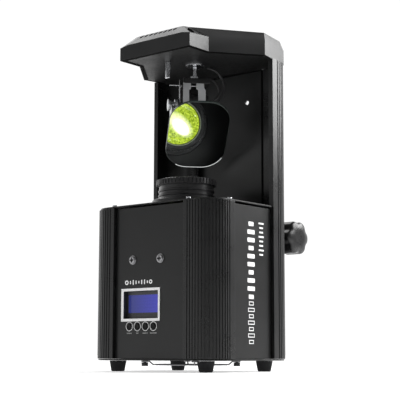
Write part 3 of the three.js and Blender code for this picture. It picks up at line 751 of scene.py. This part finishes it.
def add_side_printing():
    """Bars of a level meter up the right panel, bold above and outlined below, and a second small row."""
    face = shift(house_box("right_panel")[1].x - INK + 0.045, 0, 0) @ SIDE_DRAWING
    bold, fine = [], []
    first_row, second_row = -1.5, 16.5
    for k in range(10):
        z = 64.5 + k * 8.6
        reach = 6.3 if k % 3 else 4.4
        bold.append(ink_bar(first_row - reach, z, first_row + reach, z + 4.6, 0.8))
    for k in range(7):
        z = 17.5 + k * 6.7
        reach = 5.6 if k % 2 else 4
        sides = (first_row - reach, z, first_row + reach, z + 4.2)
        fine.append(plate(rectangle(*sides), INK, [rectangle(*sides, margin=-0.9)], bevel=0.01))
    for k in range(8):
        z = 111.5 + k * 4.8
        reach = 4.6 if k % 3 == 1 else 3.3
        fine.append(ink_bar(second_row - reach, z, second_row + reach, z + 1.8, 0.6))
    printed("printed_side_bars", bold, face)
    printed("printed_side_outlines", fine, face)


# ---------- Lens ----------
BORE = 27.2    # radius of the hole through the lens base and the focus ring


def add_lens_base(axis):
    """Ribbed tube on a wide flange, bolted under the deck."""
    low, high = house_box("lens_base")
    z = low.z
    flange = 175
    wide, groove, tube_radius, rib = 38, 36.8, 30.3, 31.3
    profile = [(BORE, z), (wide, z), (wide, z + 2.2), (groove, z + 2.6), (groove, z + 3.2), (wide, z + 3.6),
               (wide, flange - 0.6), (37.2, flange), (31.2, flange), (tube_radius, flange + 0.8)]
    for foot in (178.6, 183.6):
        profile += [(tube_radius, foot), (rib, foot + 0.6), (rib, foot + 2), (tube_radius, foot + 2.6)]
    profile += [(tube_radius, high.z), (BORE, high.z)]
    make("turned_lens_base", turned(profile, 96, closed=True), lens_black, ["lens_base"],
         matrix=axis, sharp=30)


def add_focus_ring(axis):
    """Ring with a toothed grip."""
    low, high = house_box("focus_ring")
    tall = high.z - low.z
    teeth, tip, gap, rim = 48, 33.45, 32.5, 31.6
    outline = []
    for k in range(teeth):
        for part, radius in ((0.05, tip), (0.5, tip), (0.62, gap), (0.93, gap)):
            angle = (k + part) * 2 * math.pi / teeth
            outline.append((radius * math.cos(angle), radius * math.sin(angle)))
    grip = plate(outline, tall - 1.2, [ring_points(30.5, 96)], bevel=0.22)
    inner = turned([(BORE, 0), (rim, 0), (rim, tall - 0.4), (31, tall), (BORE, tall)], 96, closed=True)
    ring = joined(moved(grip, shift(0, 0, 0.6)), inner)
    make("knurled_focus_ring", moved(ring, shift(0, 0, low.z)), lens_black, ["focus_ring"],
         matrix=axis, body="focus", sharp=30)


def add_lens_tube(axis):
    """Tube that holds the lens, with a lip at its mouth that glows with painted light from the lens."""
    low, high = house_box("lens_tube")
    bottom, top = low.z, high.z
    outside, seat, inside = 26.9, 25.3, 22.5
    barrel = [(outside, bottom), (outside, top - 0.3), (26.6, top), (25.5, top), (seat, top - 0.5),
              (seat, 189), (inside, 189), (inside, bottom)]
    make("turned_lens_tube", turned(barrel, 80, closed=True), lens_black, ["lens_tube"],
         matrix=axis, body="lens_carriage", sharp=30)
    # Lip that glows with painted light from the lens
    lip = [(26, top - 0.6), (outside, top - 0.6), (outside, top + 0.4), (26.7, top + 0.6), (26.2, top + 0.6),
           (26, top + 0.4)]
    make("lens_lip", turned(lip, 80, closed=True), lip_painted_light, matrix=axis,
         body="lens_carriage")


def add_front_lens(axis):
    """Domed glass on a short straight edge."""
    low, high = house_box("front_lens")
    radius, edge, steps = 25, 193, 14
    dome = [(0, low.z), (radius - 0.1, low.z), (radius, low.z + 0.2)]
    for k in range(steps):
        angle = k / steps * QUARTER
        dome.append((radius * math.cos(angle), edge + (high.z - edge) * math.sin(angle)))
    dome.append((0, high.z))
    glass = make("front_lens_glass", turned(dome, 80), lens_glow, ["front_lens"], matrix=axis,
                 body="lens_carriage")
    glass.visible_diffuse = False


def add_lens():
    at = middle("focus_ring")
    axis = HOUSE @ shift(at.x, at.y, 0)
    add_lens_base(axis)
    add_focus_ring(axis)
    add_lens_tube(axis)
    add_front_lens(axis)


# ---------- Mirror ----------
def add_mirror():
    """Silvered plate with a dark cut edge; along its lowest stretch a glowing white tube is a painted highlight.
    """
    forward, drop, sideways, thick = 21.1, 25.8, 4, 3
    width, height, corner = 68.6, 94, 26.5
    outline = rounded_rectangle(width / 2, height / 2, corner, 24)
    shape = plate(outline, thick, bevel=0.45, rise=2)
    spot = shift(sideways, -forward + thick, -drop) @ TO_FRONT
    glass = make("mirror_plate", moved(shape, spot), mirror_silver, ["mirror"], matrix=TILT,
                 body="mirror_head", sharp=8)
    glass.data.materials.append(cut_edge)
    facing = TILT.to_3x3().normalized() @ Vector((0, -1, 0))
    for face in glass.data.polygons:
        if abs(face.normal.dot(facing)) < 0.97:
            face.material_index = 1
    # Glowing white tube along the lowest stretch of the edge: a painted highlight
    lowest = [(x + sideways, -forward + 0.3, y - drop) for x, y in outline if y < -31 and x > -22]
    make("mirror_edge_painted_highlight", tube(lowest, 0.5, 10), edge_painted_highlight, matrix=TILT,
         body="mirror_head")


PLATE_LOW, PLATE_HIGH = 307.5, 314    # heights of the black plate that carries the tilt motor
LEGS_FRONT = -16.3


def add_pan_shaft():
    """Shaft and hub over the plate, with a thin blade and a cross pin at its left end."""
    hub = [(0, PLATE_HIGH - 0.5), (5, PLATE_HIGH - 0.5), (5, 319.4), (3, 319.5), (2.3, 320), (2.3, 330.8),
           (0, 330.8)]
    pin = turned(rounded([(0, -30), (0.7, -30), (0.7, -18.2), (0, -18.2)], 0.2), 16)
    steel = joined(
        turned(rounded(hub, 0.4), 48),
        block(-18.9, -9, 287, -17.9, -4, PLATE_LOW + 0.4),
        moved(pin, shift(0, -6.5, PLATE_LOW - 0.5) @ TO_RIGHT))
    make("pan_shaft_and_blade", steel, zinc_steel, ["pan_yoke"], matrix=PAN, body="pan_head")


def add_motor_legs():
    """Stamped legs that hang in front of the tilt motor, drawn as (X, Z)."""
    sheet = 1.5
    top = PLATE_LOW + 0.4
    left_leg = [(-15.7, 284), (-9, 284), (-9, 300), (-7, 301.5), (-7, top), (-15.7, top)]
    right_leg = [(1.2, 286), (9.7, 286), (9.7, 300), (8, 303), (8, top), (-0.9, top), (-0.9, 301.5),
                 (1.2, 300)]
    link = rectangle(-7.2, 304, -0.8, 305)
    legs = [moved(plate(outline, sheet, bevel=0.2), shift(0, LEGS_FRONT + sheet, 0) @ TO_FRONT)
            for outline in (left_leg, right_leg, link)]
    make("motor_legs", joined(*legs), satin_aluminium, matrix=PAN, body="pan_head")


def add_tilt_motor():
    """Black plate with a rear sheet, and the motor's stepped can."""
    bridge = joined(
        block(-15.7, LEGS_FRONT, PLATE_LOW, 15, 16.5, PLATE_HIGH, 0.8),
        block(-18.9, -9, PLATE_LOW, -15, -4, PLATE_HIGH, 0.4),
        block(-12, 15, 284, 12, 16.5, PLATE_LOW + 0.4))
    make("motor_bridge", bridge, black_powder, matrix=PAN, body="pan_head")
    side, groove = 13.8, 13.3
    can = [(0, -12), (5, -12), (5, -11.2), (12.6, -11.2), (side, -10.2), (side, -5), (groove, -4.6),
           (groove, -3.9), (side, -3.5), (side, 12.6), (12.6, 13.8), (6, 14), (0, 14)]
    centre = (tilt_point.z - house_origin.z) / MM
    make("tilt_motor_can", moved(turned(rounded(can, 0.3), 64), shift(0, 0, centre) @ TO_RIGHT),
         dark_moulding, ["tilt_motor"], matrix=PAN, body="pan_head")


def add_tilt_arm():
    """Spool on the motor's axle with the cheek that carries the mirror, and the holder behind the glass."""
    left, shaft, waist, rim, neck = -31.3, 2.5, 3.6, 6.7, 6.4
    spool = [(0, left), (neck, left), (rim, -31), (rim, -30), (neck, -29.8), (4, -29.4), (waist, -27),
             (4, -24), (neck, -23.6), (rim, -23.2), (rim, -20.2), (neck, -19.9), (shaft, -19.9),
             (shaft, -12.3), (0, -12.3)]
    cheek_side = -28.6
    cheek = plate([(3.5, -3.5), (3.5, 3.5), (-3, 6), (-17.2, 8), (-17.2, -22), (-6, -8)], 1.5, bevel=0.25)
    arm = joined(moved(turned(spool, 48), TO_RIGHT), moved(cheek, shift(cheek_side, 0, 0) @ SIDE_DRAWING))
    make("tilt_spool_and_cheek", arm, satin_aluminium, ["tilt_arm"], matrix=TILT,
         body="mirror_head")
    outline = [(cheek_side, -56), (-20, -64), (26, -64), (34, -52), (34, -4), (22, 10), (-20, 10),
               (cheek_side, 4)]
    slot = rounded_rectangle(9, 2, 1.9, 5)
    holder = plate(outline, 1.2, [[(x + 3, y - 12 - k * 15) for x, y in slot] for k in range(3)], bevel=0.25)
    make("mirror_holder", moved(holder, shift(0, -16.6, 0) @ TO_FRONT), black_powder,
         matrix=TILT, body="mirror_head")


# ---------- Bracket knobs ----------
def clamp_knob():
    """Six-lobed grip with a domed face on a neck and a threaded stem, along +Z from the housing's middle."""
    lobes, around = 6, 144
    outer, face = 19.5, 82.5

    def lobed(inset, depth, height):
        ring = []
        for k in range(around):
            angle = 2 * math.pi * k / around
            hollow = depth * (0.5 + 0.5 * math.cos(lobes * angle)) ** 1.6
            radius = outer - inset - hollow
            ring.append((radius * math.cos(angle), radius * math.sin(angle), height))
        return ring

    rear_edge = ((3.4, 2.2, 59.2), (1.2, 2.6, 59.3), (0.35, 2.7, 59.9), (0, 2.7, 61))
    front_edge = ((0, 2.7, 77.5), (0.3, 2.6, 78.9), (1.1, 2.4, 80), (2.2, 2, 80.7))
    dome = ((4.5, 1.2, 81.4), (8, 0.3, 82), (12, 0, face))
    grip = stacked([lobed(*station) for station in rear_edge + front_edge + dome])
    neck = turned(rounded([(0, 51.8), (8.9, 51.8), (8.9, 58.4), (13, 60), (0, 60)], 0.6))
    root, crest, start = 3.4, 3.85, 45.6
    threads = [(0, start - 0.1)]
    for k in range(6):
        threads += [(root, start + k), (crest, start + 0.5 + k)]
    threads += [(root, 51.6), (root, 52), (0, 52)]
    return joined(grip, neck, turned(threads, 32))


def add_knobs():
    """The same knob on both sides, pointing outwards."""
    at = middle("knob_right")
    pivot = shift(0, at.y, at.z)
    for side, aim in (("right", TO_RIGHT), ("left", turn(math.pi, "Z") @ TO_RIGHT)):
        make("lobed_knob_" + side, moved(clamp_knob(), pivot @ aim), knob_moulding,
             ["knob_" + side], body=side + "_clamp")


# ---------- Rear sockets ----------
REAR_FACE = house_box("power_inlet")[1].y


def at_rear(shape, x, y, z):
    """Turns a shape made along +Z to point to the rear."""
    return moved(shape, shift(x, y, z) @ TO_REAR)


def add_inlet_fittings():
    """Three flat contacts deep in the power inlet, and the fuse drawer with its pull tab."""
    at = middle("power_inlet")
    blade = plate(rectangle(-1.1, -2.2, 1.1, 2.2), 9, bevel=0.3)
    places = ((-6.5, 2.6), (0, 6.4), (6.5, 2.6))
    blades = [at_rear(blade, at.x + side, REAR_FACE - 14, at.z + up) for side, up in places]
    make("inlet_blades", joined(*blades), nickel_steel)
    drawer = plate(rectangle(-10.5, -3.6, 10.5, 3.6), 0.9, bevel=0.25)
    tab = plate(rectangle(-3, -1, 3, 1), 0.8, bevel=0.25)
    both = joined(at_rear(drawer, at.x, REAR_FACE - 0.1, at.z - 10.5),
                  at_rear(tab, at.x, REAR_FACE + 0.7, at.z - 8.6))
    make("fuse_drawer", both, dark_moulding)


def on_pin_circle(*degrees):
    radius = 4.4
    return [(radius * math.cos(angle), radius * math.sin(angle)) for angle in map(math.radians, degrees)]


def add_signal_fittings():
    """Three pins in the input socket; in the output socket an insert with three holes, under a latch."""
    at = middle("signal_input")
    pin = turned(rounded([(0, 0), (1.15, 0), (1.15, 9), (0, 9)], 0.5), 20)
    pins = [at_rear(pin, at.x + x, REAR_FACE - 13, at.z + z + 1.4) for x, z in on_pin_circle(210, 270, 330)]
    make("input_pins", joined(*pins), nickel_steel)
    at = middle("signal_output")
    holes = [ring_points(1.5, 20, x, z - 0.6) for x, z in on_pin_circle(30, 90, 150)]
    insert = plate(ring_points(8.3, 48), 9, holes, bevel=0.35)
    latch = plate(rectangle(-2.6, -11.8, 2.6, -8.9), 0.9, bevel=0.3)
    output = joined(at_rear(insert, at.x, REAR_FACE - 12.8, at.z),
                    at_rear(latch, at.x, REAR_FACE - 0.1, at.z))
    make("output_insert", output, dark_moulding)


def add_rear_screws():
    """Screws down both sides of the rear panel, and two at each signal socket."""
    high = house_box("rear_panel")[1]
    y = high.y - 0.1
    screws = [at_rear(cross_screw(2.4, 1.5), side * (high.x - 7), y, z)
              for side in (-1, 1) for z in (12, 90, 190, 320)]
    for name in ("signal_input", "signal_output"):
        at = middle(name)
        screws += [at_rear(cross_screw(1.5, 0.9), at.x + reach, y, at.z + reach) for reach in (-10.6, 10.6)]
    make("rear_screws", joined(*screws), dark_steel)


# ---------- Head fittings ----------
def slot_outline(length, width, steps=8):
    """Rounded bar lying along X, with half-round ends."""
    reach = (length - width) / 2
    outline = []
    for side in (1, -1):
        for i in range(steps + 1):
            angle = math.pi * (i / steps - 0.5)
            outline.append((side * (reach + math.cos(angle) * width / 2), side * math.sin(angle) * width / 2))
    return outline


def add_edge_shadow_strip():
    """Dark strip under the front edge of the head, along the middle and both slanting edges: painted shadow of the
    gap between the rim and the tray.
    """
    outer = [(89.5, 17.9), (50.6, -32.1), (50.6, -64)]
    inner = [(84.6, 19.5), (46.4, -30.7), (46.4, -60.2)]
    outline = outer + [(-x, y) for x, y in outer[::-1]] + [(-x, y) for x, y in inner] + inner[::-1]
    bottom = house_box("head_cover")[0].z
    strip = moved(plate(outline, 0.5, bevel=0.1), shift(0, 0, bottom - 0.45))
    make("head_edge_painted_shadow", strip, painted_shade_fill)


def add_seam_shade():
    """Near-black blocks that paint shade into the seams at the top and at both sides of the rear panel."""
    low, high = house_box("rear_panel")
    deck = house_box("deck_plate")[1].z + 0.5
    front = low.y
    seam = high.x + 0.15
    seam_shade = joined(
        block(low.x, front - 0.8, high.z - 1.2, high.x, front + 0.1, high.z + 0.5, 0.1),
        block(-seam - 1.2, front - 0.6, deck, -seam + 0.1, front + 0.1, high.z - 1, 0.1),
        block(seam - 1.2, front - 0.6, deck, seam + 1, front + 0.1, high.z - 1, 0.1))
    make("seam_painted_shade", seam_shade, painted_shade_fill)


def add_corner_slot_shade():
    """Near-black oval on the sloping facet above the right front corner of the head: painted shade of a slot."""
    slope = math.radians(37.7)
    slot_shade = moved(plate(slot_outline(9.5, 4), 1.8, bevel=0.4), shift(0, 0, -0.5))
    on_corner = shift(46.5, -57.3, 350.4) @ turn(slope, "Y")
    make("corner_slot_painted_shade", slot_shade, painted_shade_fill, matrix=HOUSE @ on_corner)


def add_cable_sleeve():
    """Corrugated sleeve that leads the motor cables from the deck to the head."""
    low, high = house_box("cable_sleeve")
    at = middle("cable_sleeve")
    pitch, valley, ridge = 2.4, 4.2, 4.9
    profile = [(0, low.z)]
    for k in range(int((high.z - low.z) / pitch)):
        z = low.z + k * pitch
        profile += [(valley, z + 0.1), (ridge, z + 0.7), (ridge, z + 1.5), (valley, z + 2.1)]
    profile.append((0, high.z))
    make("corrugated_cable_sleeve", turned(profile, 36), dark_moulding, ["cable_sleeve"],
         matrix=HOUSE @ shift(at.x, at.y, 0))


LOOPS = {
    "motor_cable_long": ((2.9, 23.6, 332.6), (11.5, 30.8, 328.1), (17.3, 35.6, 316.5), (17.7, 35.9, 304.9),
                         (14.3, 33.1, 294.7), (9.6, 29.2, 288.3)),
    "motor_cable_short": ((3.8, 24.4, 320.3), (9.6, 29.2, 316.6), (13.4, 32.4, 307.5), (12.4, 31.5, 298.6),
                          (6.7, 26.8, 292.2)),
}


def add_motor_cables():
    """Soft cables that hang in loops behind the motor."""
    radius = 1.4
    upper = HOUSE @ Vector((0, 0, 330))
    lower = HOUSE @ Vector((0, 0, 316))
    for name, points in LOOPS.items():
        make(name, tube(smooth_line(points, 6), radius, 12), cable_jacket,
             bend=("housing", "pan_head", upper, lower))


# ---------- Studio ----------
def add_camera():
    data = configured(bpy.data.cameras.new("camera"), lens=100.17, sensor_width=36, clip_start=0.01,
                      clip_end=100)
    bpy.context.scene.camera = configured(
        linked("camera", data), location=(0.79463, -0.96007, 0.01882),
        rotation_euler=(math.radians(90 + 7.878), math.radians(-0.115), 0.6937))


def add_floor():
    """Pale floor that glows a little, more so far out, so that it fades into the backdrop."""
    mesh = bpy.data.meshes.new("studio_floor")
    half = 12
    corners = [(x, y, 0) for x, y in rectangle(-half, -half, half, half)]
    mesh.from_pydata(corners, [], [(0, 1, 2, 3)])
    material, tree, shader, where = start_material("pale_floor")
    tint = mixed(tree, noise(tree, where, 6, 2), grey(0.82), grey(0.86))
    feed(shader, {
        "Base Color": tint,
        "Emission Color": tint,
        "Emission Strength": spread(tree, length(tree, where), 0.65, 1.15, 0.7, 2.2),
        "Roughness": 0.8,
        "Specular IOR Level": 0.1})
    mesh.materials.append(material)
    floor = linked("studio_floor", mesh)


def add_world():
    """Dim studio with a white wall behind the object to its left; seen directly it is plain white."""
    world = bpy.data.worlds.new("studio")
    world.use_nodes = True
    tree = world.node_tree
    direction = node(tree, "ShaderNodeTexCoord").outputs["Generated"]
    height = node(tree, "ShaderNodeSeparateXYZ", {0: direction}).outputs["Z"]

    def glow(towards, start, end, power, fade_start, fade_end, left_over):
        """Bright patch round one direction, which fades with height."""
        facing = node(tree, "ShaderNodeVectorMath", {0: direction, 1: towards}, operation="DOT_PRODUCT")
        patch = node(tree, "ShaderNodeMapRange", {
            "Value": facing.outputs["Value"], "From Min": start, "From Max": end, "To Min": 0,
            "To Max": power}, interpolation_type="SMOOTHSTEP").outputs[0]
        return multiplied(tree, patch, spread(tree, height, 1, left_over, fade_start, fade_end))

    wall = glow((-0.64, 0.768, 0), 0.1, 0.75, 1.0, 0.35, 0.8, 0.5)
    screen = glow((-0.8, -0.6, 0), 0.3, 0.9, 0.5, 0.1, 0.35, 0.1)
    room = glow((0, 0, -1), -0.6, -0.1, 0.16, 0.1, 0.35, 0.3)
    two = node(tree, "ShaderNodeMath", {0: wall, 1: screen}, operation="ADD").outputs[0]
    level = node(tree, "ShaderNodeMath", {0: two, 1: room}, operation="ADD").outputs[0]
    seen = node(tree, "ShaderNodeLightPath").outputs["Is Camera Ray"]
    strength = node(tree, "ShaderNodeMix", {"Factor": seen, "A": level, "B": 1.05}, data_type="FLOAT")
    feed(tree.nodes["Background"], {"Strength": strength.outputs["Result"], "Color": grey(1)})
    bpy.context.scene.world = world


def add_softbox(name, where, target, width, height, power):
    data = configured(bpy.data.lights.new(name, "AREA"), shape="RECTANGLE", size=width, size_y=height,
                      energy=power)
    aim = (Vector(target) - Vector(where)).to_track_quat("-Z", "Y")
    configured(linked(name, data), location=where, rotation_mode="QUATERNION", rotation_quaternion=aim,
               visible_camera=False)


def add_studio():
    add_camera()
    add_floor()
    add_world()
    add_softbox("softbox_right", (0.66, 0.72, 0.76), (0.05, 0, 0.28), 0.9, 0.64, 16)
    add_softbox("softbox_top", (-0.75, 0.2, 1.3), (0, 0, 0.3), 1.0, 1.0, 9)
    add_softbox("softbox_front", (1.0, -0.28, 1.15), (0, 0, 0.3), 0.6, 0.5, 1.8)
    configured(bpy.context.scene.view_settings, view_transform="Standard", look="None")


# ---------- Assembly ----------
add_studio()
add_screws()
add_feet()
add_fan_guard()
add_guard_nuts()
add_display()
add_buttons()
add_front_printing()
add_side_printing()
add_lens()
add_mirror()
add_pan_shaft()
add_motor_legs()
add_tilt_motor()
add_tilt_arm()
add_knobs()
add_inlet_fittings()
add_signal_fittings()
add_rear_screws()
add_edge_shadow_strip()
add_seam_shade()
add_corner_slot_shade()
add_cable_sleeve()
add_motor_cables()
dress_frame()

bpy.context.view_layer.update()
